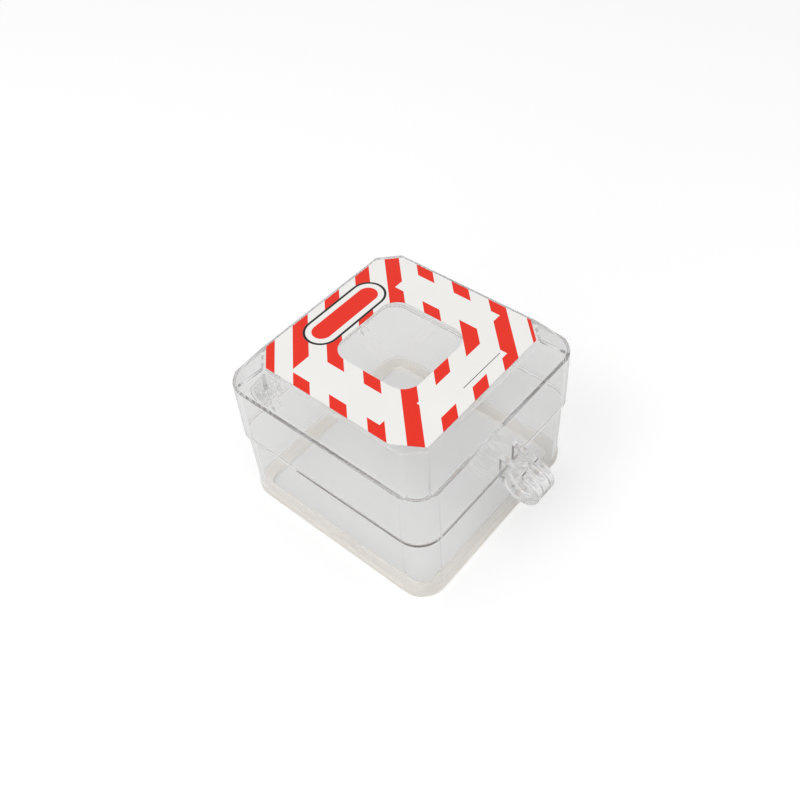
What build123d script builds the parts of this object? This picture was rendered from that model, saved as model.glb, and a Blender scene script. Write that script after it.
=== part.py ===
from build123d import *
import os
from math import acos, atan2, cos, radians, sin, sqrt, tan

# Clear hinged cover that locks over a push button. Millimetres, +Z up.
# The origin is the middle of the taped underside. The hasp is at -Y, the hinges are at +Y.

# Base frame
base_width = 79.0
base_corner_radius = 8.3
base_wall = 1.5
foot_overhang = 0.5
foot_thickness = 2.0
foot_ledge_width = 4.9
base_height = 28.85

# Adhesive foam tape under the foot
tape_thickness = 1.2
tape_edge_margin = 0.2

# Lid: skirt, bevelled crown and top plate
lid_overhang = 0.9
lid_edge_radius = 8.9
lid_draft = 1.0
lid_wall = 2.0
plate_thickness = 2.0
skirt_height = 22.1
bevel_height = 9.0
bevel_run = 6.8
plate_corner_leg = 6.3
shoulder_corner_leg = 4.6

# Printed label on the top plate
label_thickness = 0.2
label_margin = 1.0
label_corner_leg = 6.4
label_front_leg_x = 5.6
label_front_leg_y = 9.3
window_width = 30.8
window_radius = 6.3

# Hasp: two ears and a tongue with an eye for a padlock shackle
hasp_offset = 1.2
hasp_reach = 8.1
hasp_ear_thickness = 2.6
hasp_ear_root = 9.2
hasp_tongue_thickness = 3.5
hasp_eye_radius = 6.3
shackle_hole_diameter = 7.0

# Hinges: two ears and a tongue on each pin
hinge_offset = 1.2
hinge_spacing = 45.3
hinge_ear_thickness = 1.8
hinge_ear_radius = 4.4
hinge_ear_root = 13.0
hinge_tongue_thickness = 3.0
hinge_tongue_radius = 3.6
hinge_tongue_root = 6.3
pin_diameter = 3.0
pin_end_chamfer = 0.3

# How deep an ear or a tongue runs into its wall
leaf_embed = 1.0

# Clearances
seam_gap = 0.15
leaf_clearance = 0.2
knuckle_clearance = 0.4
pin_clearance = 0.05
pin_squeeze = 0.02

# Edge finish
crown_edge_round = 0.7
skirt_edge_round = 0.3
foot_edge_round = 0.4
leaf_edge_round = 0.4

# Heights that follow from the sizes above
foot_top = tape_thickness + foot_thickness
rim_height = tape_thickness + base_height
parting_height = rim_height + seam_gap
shoulder_height = parting_height + skirt_height
top_height = shoulder_height + bevel_height

# Widths that follow from the sizes above
foot_width = base_width + 2 * foot_overhang
foot_radius = base_corner_radius + foot_overhang
ledge_opening = foot_width - 2 * foot_ledge_width
ledge_radius = max(foot_radius - foot_ledge_width, 1.0)
lid_edge_width = base_width + 2 * lid_overhang
lid_width = lid_edge_width - 2 * skirt_height * tan(radians(lid_draft))
plate_width = lid_width - 2 * bevel_run
label_width = plate_width - 2 * label_margin

# Axes of the hasp eye and of the hinges, in the parting plane
hasp_axis_y = -(lid_edge_width / 2 + hasp_reach)
hinge_axis_y = lid_edge_width / 2 + knuckle_clearance + hinge_tongue_radius
hasp_ear_pitch = hasp_tongue_thickness + 2 * leaf_clearance + hasp_ear_thickness
hinge_ear_pitch = hinge_tongue_thickness + 2 * leaf_clearance + hinge_ear_thickness
hinge_width = hinge_ear_pitch + hinge_ear_thickness
hinge_middles = {
    "left": hinge_offset - hinge_spacing / 2,
    "right": hinge_offset + hinge_spacing / 2,
}


def rounded_block(width, radius, low, high):
    """Square block with rounded corners, from one height to another."""
    with BuildPart() as block:
        with BuildSketch(Plane.XY.offset(low)):
            RectangleRounded(width, width, radius)
        extrude(amount=high - low)
    return block.part


def label_outline():
    """Octagon of the label. The cut at its front corner is longer and runs at a steeper angle."""
    edge = label_width / 2
    cut = edge - label_corner_leg
    with BuildSketch() as outline:
        with BuildLine():
            Polyline(
                (edge, -cut),
                (edge, cut),
                (cut, edge),
                (-cut, edge),
                (-edge, cut),
                (-edge, label_front_leg_y - edge),
                (label_front_leg_x - edge, -edge),
                (cut, -edge),
                close=True,
            )
        make_face()
    return outline.sketch


def crown_plane(direction, plate_reach, shoulder_reach, inset):
    """Plane of one slope of the crown, from the top plate out and down to the shoulder."""
    normal = Vector(0, 0, shoulder_reach - plate_reach) + bevel_height * direction
    normal = normal.normalized()
    edge = plate_reach * direction + Vector(0, 0, top_height)
    return Plane(origin=edge - inset * normal, z_dir=normal)


def lid_form(inset, top):
    """Outside of the lid as a solid, or the space inside its walls when inset by them."""
    width = lid_edge_width - 2 * inset
    crown_low = (parting_height + shoulder_height) / 2
    side_reach = (plate_width / 2, lid_width / 2)
    facet_reach = ((plate_width - plate_corner_leg) / sqrt(2), (lid_width - shoulder_corner_leg) / sqrt(2))
    with BuildPart() as form:
        with BuildSketch(Plane.XY.offset(parting_height)):
            RectangleRounded(width, width, lid_edge_radius - inset)
        extrude(amount=top - parting_height, taper=lid_draft)
        for turn in range(0, 360, 90):
            side = Vector(1, 0, 0).rotate(Axis.Z, turn)
            facet = Vector(1, 0, 0).rotate(Axis.Z, turn + 45)
            split(bisect_by=crown_plane(side, *side_reach, inset), keep=Keep.BOTTOM)
            split(bisect_by=crown_plane(facet, *facet_reach, inset), keep=Keep.BOTTOM)
        crown_edges = form.edges().filter_by(lambda edge: edge.bounding_box().min.Z > crown_low)
        fillet(crown_edges, crown_edge_round)
    return form.part


def tangent_point(point, centre, radius, side):
    """Where a line from the point touches the circle, on its upper (+1) or lower (-1) side."""
    away_y = point[0] - centre[0]
    away_z = point[1] - centre[1]
    middle = atan2(away_z, away_y)
    spread = acos(radius / sqrt(away_y**2 + away_z**2))
    touches = [
        (centre[0] + radius * cos(middle + turn), centre[1] + radius * sin(middle + turn))
        for turn in (spread, -spread)
    ]
    return max(touches, key=lambda touch: side * touch[1])


def leaf(middle_x, thickness, wall_y, face_z, root_z, axis_y, radius, bore):
    """Plate across X: a web on a wall that runs tangent onto a round bored eye."""
    inner_y = wall_y + (leaf_embed if wall_y < 0 else -leaf_embed)
    side = 1 if root_z > face_z else -1
    eye = (axis_y, parting_height)
    touch_y, touch_z = tangent_point((wall_y, root_z), eye, radius, side)
    slope = (touch_z - root_z) / (touch_y - wall_y)
    with BuildPart() as plate:
        with BuildSketch(Plane.YZ.offset(middle_x - thickness / 2)):
            with BuildLine():
                Polyline(
                    (inner_y, face_z),
                    (inner_y, root_z + slope * (inner_y - wall_y)),
                    (touch_y, touch_z),
                    (axis_y, face_z),
                    close=True,
                )
            make_face()
            with Locations(eye):
                Circle(radius)
        extrude(amount=thickness)
        fillet(plate.faces().filter_by(Axis.X).edges(), leaf_edge_round)
        with BuildSketch(Plane.YZ.offset(middle_x - thickness / 2)):
            with Locations(eye):
                Circle(bore / 2)
        extrude(amount=thickness, mode=Mode.SUBTRACT)
    return plate.part


# Leaves of the lid: two ears in the hasp and in each hinge
hasp_ears = [
    leaf(
        hasp_offset + side * hasp_ear_pitch / 2,
        hasp_ear_thickness,
        -lid_edge_width / 2,
        parting_height,
        parting_height + hasp_ear_root,
        hasp_axis_y,
        hasp_eye_radius,
        shackle_hole_diameter,
    )
    for side in (-1, 1)
]
hinge_ears = [
    leaf(
        middle_x + side * hinge_ear_pitch / 2,
        hinge_ear_thickness,
        lid_edge_width / 2,
        parting_height,
        parting_height + hinge_ear_root,
        hinge_axis_y,
        hinge_ear_radius,
        pin_diameter - 2 * pin_squeeze,
    )
    for middle_x in hinge_middles.values()
    for side in (-1, 1)
]

# Leaves of the base: one tongue in the hasp and in each hinge
hasp_tongue = leaf(
    hasp_offset,
    hasp_tongue_thickness,
    -base_width / 2,
    rim_height,
    parting_height - hasp_eye_radius,
    hasp_axis_y,
    hasp_eye_radius,
    shackle_hole_diameter,
)
hinge_tongues = [
    leaf(
        middle_x,
        hinge_tongue_thickness,
        base_width / 2,
        rim_height,
        parting_height - hinge_tongue_root,
        hinge_axis_y,
        hinge_tongue_radius,
        pin_diameter + 2 * pin_clearance,
    )
    for middle_x in hinge_middles.values()
]

lid_outside = lid_form(0, top_height)
lid_inside = lid_form(lid_wall, top_height - plate_thickness)

# Lid: one clear moulding, open below
with BuildPart() as lid_cover:
    add(lid_outside)
    fillet(lid_cover.edges().group_by(Axis.Z)[0], skirt_edge_round)
    add(lid_inside, mode=Mode.SUBTRACT)
    add(hasp_ears)
    add(hinge_ears)

# Base frame: one clear moulding, a wall on a foot
base_opening = base_width - 2 * base_wall
opening_radius = base_corner_radius - base_wall

with BuildPart() as base_frame:
    add(rounded_block(foot_width, foot_radius, tape_thickness, foot_top))
    fillet(base_frame.edges().group_by(Axis.Z)[-1], foot_edge_round)
    add(rounded_block(base_width, base_corner_radius, foot_top, rim_height))
    add(rounded_block(base_opening, opening_radius, foot_top, rim_height), mode=Mode.SUBTRACT)
    add(rounded_block(ledge_opening, ledge_radius, tape_thickness, foot_top), mode=Mode.SUBTRACT)
    add(hasp_tongue)
    add(hinge_tongues)

# Foam tape: one ring under the foot
with BuildPart() as adhesive_tape:
    add(rounded_block(foot_width - 2 * tape_edge_margin, foot_radius - tape_edge_margin, 0, tape_thickness))
    add(rounded_block(ledge_opening, ledge_radius, 0, tape_thickness), mode=Mode.SUBTRACT)

# Label: a thin film with a clear window in its middle
with BuildPart() as hazard_label:
    with BuildSketch(Plane.XY.offset(top_height)):
        add(label_outline())
        RectangleRounded(window_width, window_width, window_radius, mode=Mode.SUBTRACT)
    extrude(amount=label_thickness)


def hinge_pin(middle_x):
    """Pin that is pressed into the ears of the lid and turns in the tongue of the base."""
    with BuildPart() as pin:
        with BuildSketch(Plane.YZ.offset(middle_x - hinge_width / 2)):
            with Locations((hinge_axis_y, parting_height)):
                Circle(pin_diameter / 2)
        extrude(amount=hinge_width)
        chamfer(pin.edges().filter_by(GeomType.CIRCLE), pin_end_chamfer)
    return pin.part


pieces = {
    "lid_cover": lid_cover.part,
    "base_frame": base_frame.part,
    "adhesive_tape": adhesive_tape.part,
    "hazard_label": hazard_label.part,
}
for side_name, middle_x in hinge_middles.items():
    pieces[f"hinge_pin_{side_name}"] = hinge_pin(middle_x)

os.makedirs("parts", exist_ok=True)
for name, piece in pieces.items():
    piece.label = name
    export_step(piece, f"parts/{name}.step")
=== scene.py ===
from functools import reduce
from math import cos, pi, radians, sin, sqrt

import bmesh
import bpy
from mathutils import Matrix, Vector


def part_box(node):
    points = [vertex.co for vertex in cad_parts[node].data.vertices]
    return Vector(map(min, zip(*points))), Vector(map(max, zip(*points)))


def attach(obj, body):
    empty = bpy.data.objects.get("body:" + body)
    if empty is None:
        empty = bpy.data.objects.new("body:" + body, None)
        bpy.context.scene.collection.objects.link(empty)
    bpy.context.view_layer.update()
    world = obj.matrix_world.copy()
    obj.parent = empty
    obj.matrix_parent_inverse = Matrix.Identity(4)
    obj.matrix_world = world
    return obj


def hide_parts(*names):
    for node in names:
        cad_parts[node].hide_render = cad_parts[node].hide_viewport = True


# Clear hinged cover with a printed label and a ring of foam tape. Metres, same frame as the CAD model.

MM = 0.001

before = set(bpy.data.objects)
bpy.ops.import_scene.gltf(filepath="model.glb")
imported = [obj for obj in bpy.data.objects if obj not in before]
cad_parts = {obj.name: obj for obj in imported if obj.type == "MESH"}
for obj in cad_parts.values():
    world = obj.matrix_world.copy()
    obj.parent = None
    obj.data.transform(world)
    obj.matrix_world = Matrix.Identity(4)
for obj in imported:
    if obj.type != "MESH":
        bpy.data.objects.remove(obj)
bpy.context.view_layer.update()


# Node trees

class Graph:
    """Builds a node tree: each call adds one node and gives back one of its outputs."""

    def __init__(self, tree):
        self.tree = tree
        tree.nodes.clear()

    def node(self, kind, inputs=None, output=0, **settings):
        made = self.tree.nodes.new("ShaderNode" + kind)
        for name, value in settings.items():
            setattr(made, name, value)
        for key, value in (inputs or {}).items():
            if isinstance(value, bpy.types.NodeSocket):
                self.tree.links.new(value, made.inputs[key])
            else:
                made.inputs[key].default_value = value
        return made.outputs[output]

    def math(self, operation, *values):
        return self.node("Math", dict(enumerate(values)), operation=operation)

    def either(self, *masks):
        """1 where any of the masks is 1."""
        return reduce(lambda total, mask: self.math("MAXIMUM", total, mask), masks)

    def both(self, *masks):
        """1 where all of the masks are 1."""
        return reduce(lambda total, mask: self.math("MULTIPLY", total, mask), masks)

    def below(self, value, limit, soft):
        """1 where the value is under the limit, with an edge this soft."""
        return self.remap(value, limit + soft / 2, limit - soft / 2)

    def remap(self, value, low, high, to_low=0.0, to_high=1.0):
        return self.node(
            "MapRange",
            {"Value": value, "From Min": low, "From Max": high, "To Min": to_low, "To Max": to_high},
        )

    def noise(self, place, size, detail=3.0, roughness=0.5, stretch=(1, 1, 1)):
        """Noise from 0 to 1 whose blobs are about this many metres."""
        scaled = self.node("Mapping", {"Vector": place, "Scale": [k / size for k in stretch]})
        inputs = {"Vector": scaled, "Scale": 1.0, "Detail": detail, "Roughness": roughness}
        return self.node("TexNoise", inputs, output="Fac")

    def mix(self, share, first, second):
        """Colour between two others."""
        return self.node("Mix", {"Factor": share, 6: first, 7: second}, output=2, data_type="RGBA")

    def bump(self, height, distance, strength):
        return self.node("Bump", {"Height": height, "Distance": distance, "Strength": strength})

    def place(self):
        return self.node("TexCoord", output="Object")

    def rays(self):
        return self.node("LightPath").node.outputs

    def surface(self, shader, kind="ShaderNodeOutputMaterial", volume=None):
        output = self.tree.nodes.new(kind)
        self.tree.links.new(shader, output.inputs["Surface"])
        if volume is not None:
            self.tree.links.new(volume, output.inputs["Volume"])


# Values between which most of a noise lies
NOISE_RANGE = (0.3, 0.7)


def new_material(name):
    material = bpy.data.materials.new(name)
    material.use_nodes = True
    return material, Graph(material.node_tree)


def shade(colour, share):
    """The same colour, scaled by this share."""
    return [channel * share for channel in colour[:3]] + [1]


# Clear moulded plastic

PLASTIC_IOR = 1.49
PLASTIC_TINT = (0.985, 0.985, 0.983, 1)
PLASTIC_TINT_SHADE = (0.965, 0.965, 0.962, 1)
PLASTIC_SHADOW = (0.99, 0.99, 0.99, 1)
PLASTIC_DEPTH = (0.0, 0.0, 0.02, 1)
# Brightness that a great depth of the plastic would reach from its painted glow, an emission that
# stands in for light scattered in it
PLASTIC_PAINTED_GLOW_LIMIT = 0.35
PLASTIC_POLISH = 0.01
TINT_CLOUD_SIZE = 30 * MM
SMEAR_SIZE = 9 * MM
SMEAR_RANGE = (0.35, 0.75)
SCRATCH_SIZE = 1.2 * MM
SCRATCH_STRETCH = (1, 7, 1)
SCRATCH_RANGE = (0.66, 0.72)
SCRATCH_ROUGHNESS = 0.05
FLOW_SIZE = 14 * MM
FLOW_WAVE = 0.02 * MM
FLOW_STRENGTH = 0.5
# Along Y, where the less polished finish of the hinge ears starts and where it is full
HINGE_EARS_START = 40.6 * MM
HINGE_EARS_FULL = 41.6 * MM


def clear_plastic(name, smudge, density, hinge_roughness=0.0):
    """Clear plastic with faint flow waves, fine scuffs and smudges, absorption in its depth, and a
    painted glow there that stands in for light scattered in it.

    Its leaves on the hinge side are less polished, by the given roughness.
    """
    material, graph = new_material(name)
    place = graph.place()
    cloud = graph.noise(place, TINT_CLOUD_SIZE, detail=4)
    tint = graph.mix(cloud, PLASTIC_TINT_SHADE, PLASTIC_TINT)
    smear = graph.noise(place, SMEAR_SIZE, detail=6, roughness=0.6)
    smeared = graph.remap(smear, *SMEAR_RANGE, PLASTIC_POLISH, smudge)
    scratch = graph.noise(place, SCRATCH_SIZE, detail=2, stretch=SCRATCH_STRETCH)
    scratched = graph.remap(scratch, *SCRATCH_RANGE, 0.0, SCRATCH_ROUGHNESS)
    polished = graph.math("ADD", smeared, scratched)
    y = graph.node("SeparateXYZ", {"Vector": place}, output="Y")
    leaves = graph.remap(y, HINGE_EARS_START, HINGE_EARS_FULL, 0.0, hinge_roughness)
    roughness = graph.math("MAXIMUM", polished, leaves)
    flow = graph.noise(place, FLOW_SIZE, detail=2)
    normal = graph.bump(flow, FLOW_WAVE, FLOW_STRENGTH)
    glass = graph.node(
        "BsdfPrincipled",
        {
            "Base Color": tint,
            "Roughness": roughness,
            "IOR": PLASTIC_IOR,
            "Transmission Weight": 1.0,
            "Normal": normal,
        },
    )
    passing = graph.node("BsdfTransparent", {"Color": PLASTIC_SHADOW})
    shadow_ray = graph.rays()["Is Shadow Ray"]
    depth = graph.node("VolumeAbsorption", {"Color": PLASTIC_DEPTH, "Density": density})
    # Painted glow: an emission in the plastic's depth, in place of light scattered in it
    painted_glow = graph.node("Emission", {"Strength": PLASTIC_PAINTED_GLOW_LIMIT * density})
    body = graph.node("AddShader", {0: depth, 1: painted_glow})
    graph.surface(graph.node("MixShader", {"Fac": shadow_ray, 1: glass, 2: passing}), volume=body)
    return material


# Print on the label

PRINT_EDGE = 0.06 * MM
STRIPE_PITCH = 10.4 * MM
STRIPE_HALF = 2.43 * MM
STRIPE_SHIFT = -0.8 * MM
# Bare strips, each from one X to another and from one Y to another, in millimetres
BARE_STRIPS = (
    (-28.6, -19.3, -16.4, 18.7),
    (19.1, 28.2, -17.0, 18.1),
    (-16.0, 15.9, -28.5, -19.6),
)
CAPSULE_ENDS_X = (-10.4 * MM, 11.0 * MM)
CAPSULE_Y = 22.95 * MM
CAPSULE_RADIUS = 6.15 * MM
CAPSULE_LINE = 0.8 * MM
CAPSULE_CORE = 3.4 * MM
WRITING_LINE_X = (-3.2 * MM, 14.7 * MM)
WRITING_LINE_Y = -26.65 * MM
WRITING_LINE_HALF = 0.12 * MM


def label_print(graph, place):
    """Masks of the printed parts: red ink and black ink."""
    axes = graph.node("SeparateXYZ", {"Vector": place}).node.outputs
    x, y = axes["X"], axes["Y"]

    def span(value, low, high):
        """1 between the two limits."""
        away = graph.math("ABSOLUTE", graph.math("SUBTRACT", value, (low + high) / 2))
        return graph.below(away, (high - low) / 2, PRINT_EDGE)

    def box(low_x, high_x, low_y, high_y):
        """1 inside the rectangle."""
        return graph.both(span(x, low_x, high_x), span(y, low_y, high_y))

    across = graph.math("DIVIDE", graph.math("SUBTRACT", y, x), sqrt(2))
    repeat = graph.math("DIVIDE", graph.math("SUBTRACT", across, STRIPE_SHIFT), STRIPE_PITCH)
    offset = graph.math("SUBTRACT", repeat, graph.math("ROUND", repeat))
    stripe_away = graph.math("MULTIPLY", graph.math("ABSOLUTE", offset), STRIPE_PITCH)
    stripes = graph.below(stripe_away, STRIPE_HALF, PRINT_EDGE)

    capsule_middle = sum(CAPSULE_ENDS_X) / 2
    capsule_half = CAPSULE_ENDS_X[1] - capsule_middle
    beyond = graph.math("ABSOLUTE", graph.math("SUBTRACT", x, capsule_middle))
    beyond = graph.math("MAXIMUM", graph.math("SUBTRACT", beyond, capsule_half), 0.0)
    aside = graph.math("SUBTRACT", y, CAPSULE_Y)
    squares = [graph.math("POWER", leg, 2.0) for leg in (beyond, aside)]
    reach = graph.math("SQRT", graph.math("ADD", *squares))
    capsule = graph.below(reach, CAPSULE_RADIUS, PRINT_EDGE)
    capsule_field = graph.below(reach, CAPSULE_RADIUS - CAPSULE_LINE, PRINT_EDGE)
    core = graph.below(reach, CAPSULE_CORE, PRINT_EDGE)
    outline = graph.both(capsule, graph.math("SUBTRACT", 1.0, capsule_field))

    strips = [box(*[edge * MM for edge in strip]) for strip in BARE_STRIPS]
    bare = graph.either(capsule, *strips)
    red = graph.either(graph.both(stripes, graph.math("SUBTRACT", 1.0, bare)), core)
    line = box(*WRITING_LINE_X, WRITING_LINE_Y - WRITING_LINE_HALF, WRITING_LINE_Y + WRITING_LINE_HALF)
    return red, graph.either(outline, line)


# Label film

LABEL_WHITE = (0.90, 0.89, 0.865, 1)
LABEL_RED = (0.86, 0.028, 0.012, 1)
LABEL_BLACK = (0.012, 0.011, 0.011, 1)
# Painted shade: the label's back is coloured dark for the shade on its underside, which faces into the
# box
LABEL_BACK_PAINTED_SHADE = (0.45, 0.38, 0.35, 1)
WHITE_SHADE = 0.965
RED_SHADE = 0.93
BACK_SHADE = 0.8
MOTTLE_SIZE = 0.35 * MM
LABEL_CLOUD_SIZE = 18 * MM
# The label's back is where the Z of its normal is under this
FACING_DOWN = -0.5
FACING_EDGE = 0.1
SCUFF_SIZE = 2.5 * MM
SCUFF_RANGE = (0.3, 0.75)
LABEL_ROUGHNESS = (0.34, 0.5)
LABEL_SPECULAR = 0.25
FILM_GRAIN_SIZE = 0.8 * MM
INK_HEIGHT = 0.25
LABEL_RELIEF = 0.01 * MM
LABEL_RELIEF_STRENGTH = 0.5


def label_film():
    """White vinyl film with red and black ink, faint mottle and scuffs, and a back coloured dark as
    painted shade.
    """
    material, graph = new_material("printed_label")
    place = graph.place()
    red, black = label_print(graph, place)
    mottle = graph.remap(graph.noise(place, MOTTLE_SIZE), *NOISE_RANGE)
    cloud = graph.remap(graph.noise(place, LABEL_CLOUD_SIZE), *NOISE_RANGE)
    white = graph.mix(cloud, LABEL_WHITE, shade(LABEL_WHITE, WHITE_SHADE))
    ink = graph.mix(mottle, LABEL_RED, shade(LABEL_RED, RED_SHADE))
    front = graph.mix(black, graph.mix(red, white, ink), LABEL_BLACK)
    # The back's dark colour is painted shade
    back = graph.mix(cloud, LABEL_BACK_PAINTED_SHADE, shade(LABEL_BACK_PAINTED_SHADE, BACK_SHADE))
    facing = graph.node("TexCoord", output="Normal")
    upward = graph.node("SeparateXYZ", {"Vector": facing}, output="Z")
    colour = graph.mix(graph.below(upward, FACING_DOWN, FACING_EDGE), front, back)
    scuff = graph.noise(place, SCUFF_SIZE, detail=5, roughness=0.7)
    inked = graph.math("MULTIPLY", graph.either(red, black), INK_HEIGHT)
    height = graph.math("ADD", graph.noise(place, FILM_GRAIN_SIZE, detail=2), inked)
    film = graph.node(
        "BsdfPrincipled",
        {
            "Base Color": colour,
            "Roughness": graph.remap(scuff, *SCUFF_RANGE, *LABEL_ROUGHNESS),
            "Specular IOR Level": LABEL_SPECULAR,
            "Normal": graph.bump(height, LABEL_RELIEF, LABEL_RELIEF_STRENGTH),
        },
    )
    graph.surface(film)
    return material


# Foam tape

TAPE_PALE = (0.98, 0.945, 0.89, 1)
TAPE_DARK = (0.94, 0.90, 0.84, 1)
FOAM_CLOUD_SIZE = 6 * MM
FOAM_CLOUD_SHARE = 0.6
FOAM_CELL_SIZE = 0.35 * MM
FOAM_CELL_SHARE = 0.5
FOAM_RELIEF = 0.05 * MM
FOAM_RELIEF_STRENGTH = 0.3
FOAM_ROUGHNESS = (0.65, 0.85)


def foam():
    """Pale closed-cell foam with a fine cellular grain."""
    material, graph = new_material("foam_tape")
    place = graph.place()
    cloud = graph.noise(place, FOAM_CLOUD_SIZE, detail=4)
    grain = {"Vector": place, "Scale": 1 / FOAM_CELL_SIZE, "Randomness": 1.0}
    cells = graph.node("TexVoronoi", grain, output="Distance")
    cloud_part = graph.math("MULTIPLY", cloud, FOAM_CLOUD_SHARE)
    cell_part = graph.math("MULTIPLY", cells, FOAM_CELL_SHARE)
    foam_shader = graph.node(
        "BsdfPrincipled",
        {
            "Base Color": graph.mix(graph.math("ADD", cloud_part, cell_part), TAPE_PALE, TAPE_DARK),
            "Roughness": graph.remap(cloud, *NOISE_RANGE, *FOAM_ROUGHNESS),
            "Normal": graph.bump(cells, FOAM_RELIEF, FOAM_RELIEF_STRENGTH),
        },
    )
    graph.surface(foam_shader)
    return material


# Pieces modelled here

CORNER_STEPS = 12


def new_piece(name, mesh, material, body, stands_for):
    """Piece with this mesh and material, on a body, in place of a node of the frame."""
    mesh.normal_update()
    data = bpy.data.meshes.new(name)
    mesh.to_mesh(data)
    mesh.free()
    data.materials.append(material)
    piece = bpy.data.objects.new(name, data)
    bpy.context.scene.collection.objects.link(piece)
    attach(piece, body)
    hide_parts(stands_for)


def rounded_square(half, radius, side_steps=1):
    """Points anticlockwise round a square with rounded corners, with this many steps along a side."""
    arcs = []
    for corner in range(4):
        middle = Matrix.Rotation(corner * pi / 2, 3, "Z") @ Vector((half - radius, half - radius, 0))
        angles = [(corner + step / CORNER_STEPS) * pi / 2 for step in range(CORNER_STEPS + 1)]
        arcs.append([middle + radius * Vector((cos(angle), sin(angle), 0)) for angle in angles])
    points = []
    for arc, following in zip(arcs, arcs[1:] + arcs[:1]):
        points += arc
        points += [arc[-1].lerp(following[0], step / side_steps) for step in range(1, side_steps)]
    return points


# Faces along each straight side of the tape, and how far its lower corners are cut
TAPE_SIDE_STEPS = 40
TAPE_EDGE = 0.22 * MM
TAPE_EMBED = 0.05 * MM
TAPE_OPENING_RADIUS = 3.9 * MM
TAPE_OUTER_RADIUS = 8.6 * MM
TAPE_WIDTH = 4.7 * MM


def tape_ring():
    """Flat ring with soft lower edges whose top sinks a hair into the foot that it sticks to."""
    low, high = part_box("adhesive_tape")
    bottom, top = low.z, high.z + TAPE_EMBED
    outer = rounded_square(high.x, TAPE_OUTER_RADIUS, TAPE_SIDE_STEPS)
    inner = rounded_square(high.x - TAPE_WIDTH, TAPE_OPENING_RADIUS, TAPE_SIDE_STEPS)
    mesh = bmesh.new()
    rings = []
    for out_point, in_point in zip(outer, inner):
        edge = TAPE_EDGE * (in_point - out_point).normalized()
        profile = (
            (out_point, bottom + TAPE_EDGE),
            (out_point + edge, bottom),
            (in_point - edge, bottom),
            (in_point, bottom + TAPE_EDGE),
            (in_point, top),
            (out_point, top),
        )
        rings.append([mesh.verts.new(point + Vector((0, 0, height))) for point, height in profile])
    for ring, following in zip(rings, rings[1:] + rings[:1]):
        for this in range(len(ring)):
            after = (this + 1) % len(ring)
            mesh.faces.new((ring[this], following[this], following[after], ring[after]))
    bmesh.ops.recalc_face_normals(mesh, faces=mesh.faces)
    return mesh


LABEL_EMBED = 0.03 * MM
LABEL_CORNER_LEG = 6.4 * MM
LABEL_FRONT_LEG_X = 5.6 * MM
LABEL_FRONT_LEG_Y = 9.3 * MM
LABEL_SIDE_STEPS = 6
WINDOW_HALF = 15.4 * MM
WINDOW_RADIUS = 6.3 * MM


def label_outline(edge):
    """Points round the octagonal label, whose cut at the front corner is longer and steeper."""
    cut = edge - LABEL_CORNER_LEG
    corners = [
        Vector((x, y, 0))
        for x, y in (
            (edge, -cut),
            (edge, cut),
            (cut, edge),
            (-cut, edge),
            (-edge, cut),
            (-edge, LABEL_FRONT_LEG_Y - edge),
            (LABEL_FRONT_LEG_X - edge, -edge),
            (cut, -edge),
        )
    ]
    points = []
    for corner, following in zip(corners, corners[1:] + corners[:1]):
        points += [corner.lerp(following, step / LABEL_SIDE_STEPS) for step in range(LABEL_SIDE_STEPS)]
    return points


def label_sheet():
    """Thin octagonal film with a rounded window. Its back sinks a hair into the plate below it."""
    low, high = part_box("hazard_label")
    bottom, top = low.z - LABEL_EMBED, high.z
    mesh = bmesh.new()
    edges = []
    for line in (label_outline(high.x), rounded_square(WINDOW_HALF, WINDOW_RADIUS)):
        loop = [mesh.verts.new(point + Vector((0, 0, top))) for point in line]
        edges += [mesh.edges.new(pair) for pair in zip(loop, loop[1:] + loop[:1])]
    bmesh.ops.triangle_fill(mesh, use_beauty=True, use_dissolve=False, edges=edges)
    for face in mesh.faces:
        if face.normal.z < 0:
            face.normal_flip()
    made = bmesh.ops.extrude_face_region(mesh, geom=list(mesh.faces))
    moved = [item for item in made["geom"] if isinstance(item, bmesh.types.BMVert)]
    bmesh.ops.translate(mesh, verts=moved, vec=Vector((0, 0, bottom - top)))
    bmesh.ops.recalc_face_normals(mesh, faces=mesh.faces)
    return mesh


lid_plastic = clear_plastic("clear_plastic_lid", smudge=0.05, density=8.0, hinge_roughness=0.16)
base_plastic = clear_plastic("clear_plastic_base", smudge=0.06, density=4.0)
pin_plastic = clear_plastic("clear_plastic_pin", smudge=0.25, density=8.0)

for node_name, material in (
    ("lid_cover", lid_plastic),
    ("base_frame", base_plastic),
    ("hinge_pin_left", pin_plastic),
    ("hinge_pin_right", pin_plastic),
):
    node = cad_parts[node_name]
    node.data.materials.clear()
    node.data.materials.append(material)

new_piece("foam_tape_ring", tape_ring(), foam(), "base", "adhesive_tape")
new_piece("striped_label", label_sheet(), label_film(), "lid", "hazard_label")


# Floor, light and background

FLOOR_HALF = 3.0
FLOOR_COLOUR = (0.74, 0.74, 0.74, 1)
FLOOR_LIFT = 0.32
FLOOR_LIFT_BEHIND = 0.13


def make_floor():
    """Pale matt floor, lifted to white for the camera and less where it is seen through plastic."""
    mesh = bmesh.new()
    bmesh.ops.create_grid(mesh, x_segments=1, y_segments=1, size=FLOOR_HALF)
    data = bpy.data.meshes.new("floor")
    mesh.to_mesh(data)
    mesh.free()
    material, graph = new_material("floor")
    matt = graph.node("BsdfDiffuse", {"Color": FLOOR_COLOUR})
    rays = graph.rays()
    straight = graph.math("MULTIPLY", rays["Is Camera Ray"], FLOOR_LIFT)
    behind = graph.math("MULTIPLY", rays["Is Transmission Ray"], FLOOR_LIFT_BEHIND)
    lift = graph.node("Emission", {"Strength": graph.math("MAXIMUM", straight, behind)})
    graph.surface(graph.node("AddShader", {0: matt, 1: lift}))
    data.materials.append(material)
    floor = bpy.data.objects.new("floor", data)
    bpy.context.scene.collection.objects.link(floor)


WORLD_LIGHT = 0.85


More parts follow.
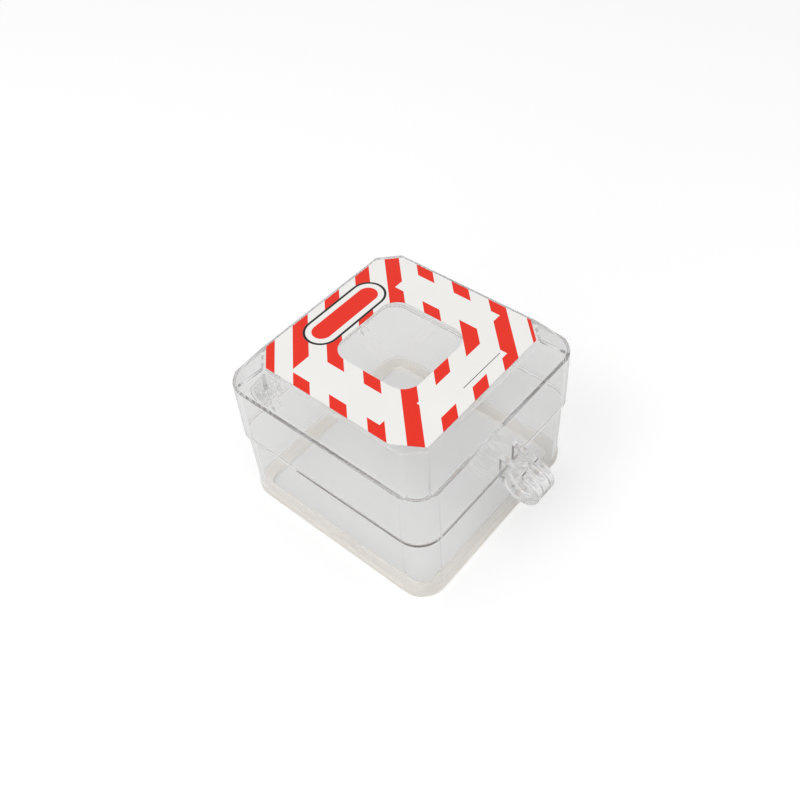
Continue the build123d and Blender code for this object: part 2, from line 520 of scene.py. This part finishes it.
def make_world():
    """White background for the rays that show it, and a little less light from all sides."""
    world = bpy.data.worlds.new("studio")
    bpy.context.scene.world = world
    world.use_nodes = True
    graph = Graph(world.node_tree)
    rays = graph.rays()
    seen = graph.either(rays["Is Camera Ray"], rays["Is Glossy Ray"], rays["Is Transmission Ray"])
    strength = graph.math("ADD", graph.math("MULTIPLY", seen, 1 - WORLD_LIGHT), WORLD_LIGHT)
    graph.surface(graph.node("Background", {"Strength": strength}), "ShaderNodeOutputWorld")


KEY_PLACE = (-0.6, 0.3, 1.0)
KEY_SIZE = (0.5, 0.5)
KEY_POWER = 3.4
LEFT_PLACE = (-0.833, -0.147, 0.308)
RIGHT_PLACE = (-0.118, -0.837, 0.308)
SIDE_SIZE = (0.45, 0.35)
SIDE_POWER = 1.5


def soft_box(name, place, size, power, mirrored):
    """Rectangular lamp that faces the object, is mirrored in it or not, and isn't seen through it."""
    data = bpy.data.lights.new(name, "AREA")
    data.shape = "RECTANGLE"
    data.size, data.size_y = size
    data.energy = power
    lamp = bpy.data.objects.new(name, data)
    lamp.location = place
    lamp.rotation_mode = "QUATERNION"
    lamp.rotation_quaternion = (-Vector(place)).to_track_quat("-Z", "Y")
    lamp.visible_glossy = mirrored
    lamp.visible_transmission = False
    bpy.context.scene.collection.objects.link(lamp)


make_floor()
make_world()
soft_box("key", KEY_PLACE, KEY_SIZE, KEY_POWER, mirrored=True)
soft_box("left", LEFT_PLACE, SIDE_SIZE, SIDE_POWER, mirrored=False)
soft_box("right", RIGHT_PLACE, SIDE_SIZE, SIDE_POWER, mirrored=False)


# Camera at the photograph's viewing angle

CAMERA_AZIMUTH = radians(223.397)
CAMERA_ELEVATION = radians(47.820)
CAMERA_ROLL = radians(-4.706)
CAMERA_DISTANCE = 282.5 * MM
CAMERA_TARGET = Vector((-3.72, -1.53, 40.0)) * MM
CAMERA_LENS = 39.69
CAMERA_CLIP_START = 10 * MM


def make_camera():
    data = bpy.data.cameras.new("camera")
    data.lens = CAMERA_LENS
    data.clip_start = CAMERA_CLIP_START
    camera = bpy.data.objects.new("camera", data)
    bpy.context.scene.collection.objects.link(camera)
    back = Vector(
        (
            cos(CAMERA_AZIMUTH) * cos(CAMERA_ELEVATION),
            sin(CAMERA_AZIMUTH) * cos(CAMERA_ELEVATION),
            sin(CAMERA_ELEVATION),
        )
    )
    right = (-back).cross(Vector((0, 0, 1))).normalized()
    up = right.cross(-back)
    rolled_right = cos(CAMERA_ROLL) * right + sin(CAMERA_ROLL) * up
    rolled_up = cos(CAMERA_ROLL) * up - sin(CAMERA_ROLL) * right
    turn = Matrix((rolled_right, rolled_up, back)).transposed().to_4x4()
    camera.matrix_world = Matrix.Translation(CAMERA_TARGET + CAMERA_DISTANCE * back) @ turn
    bpy.context.scene.camera = camera


# Light has to pass many walls of clear plastic before it reaches the camera
LIGHT_BOUNCES = 32

make_camera()
scene = bpy.context.scene
scene.view_settings.view_transform = "Standard"
scene.cycles.max_bounces = LIGHT_BOUNCES
scene.cycles.transmission_bounces = LIGHT_BOUNCES
scene.cycles.transparent_max_bounces = LIGHT_BOUNCES
scene.cycles.glossy_bounces = LIGHT_BOUNCES
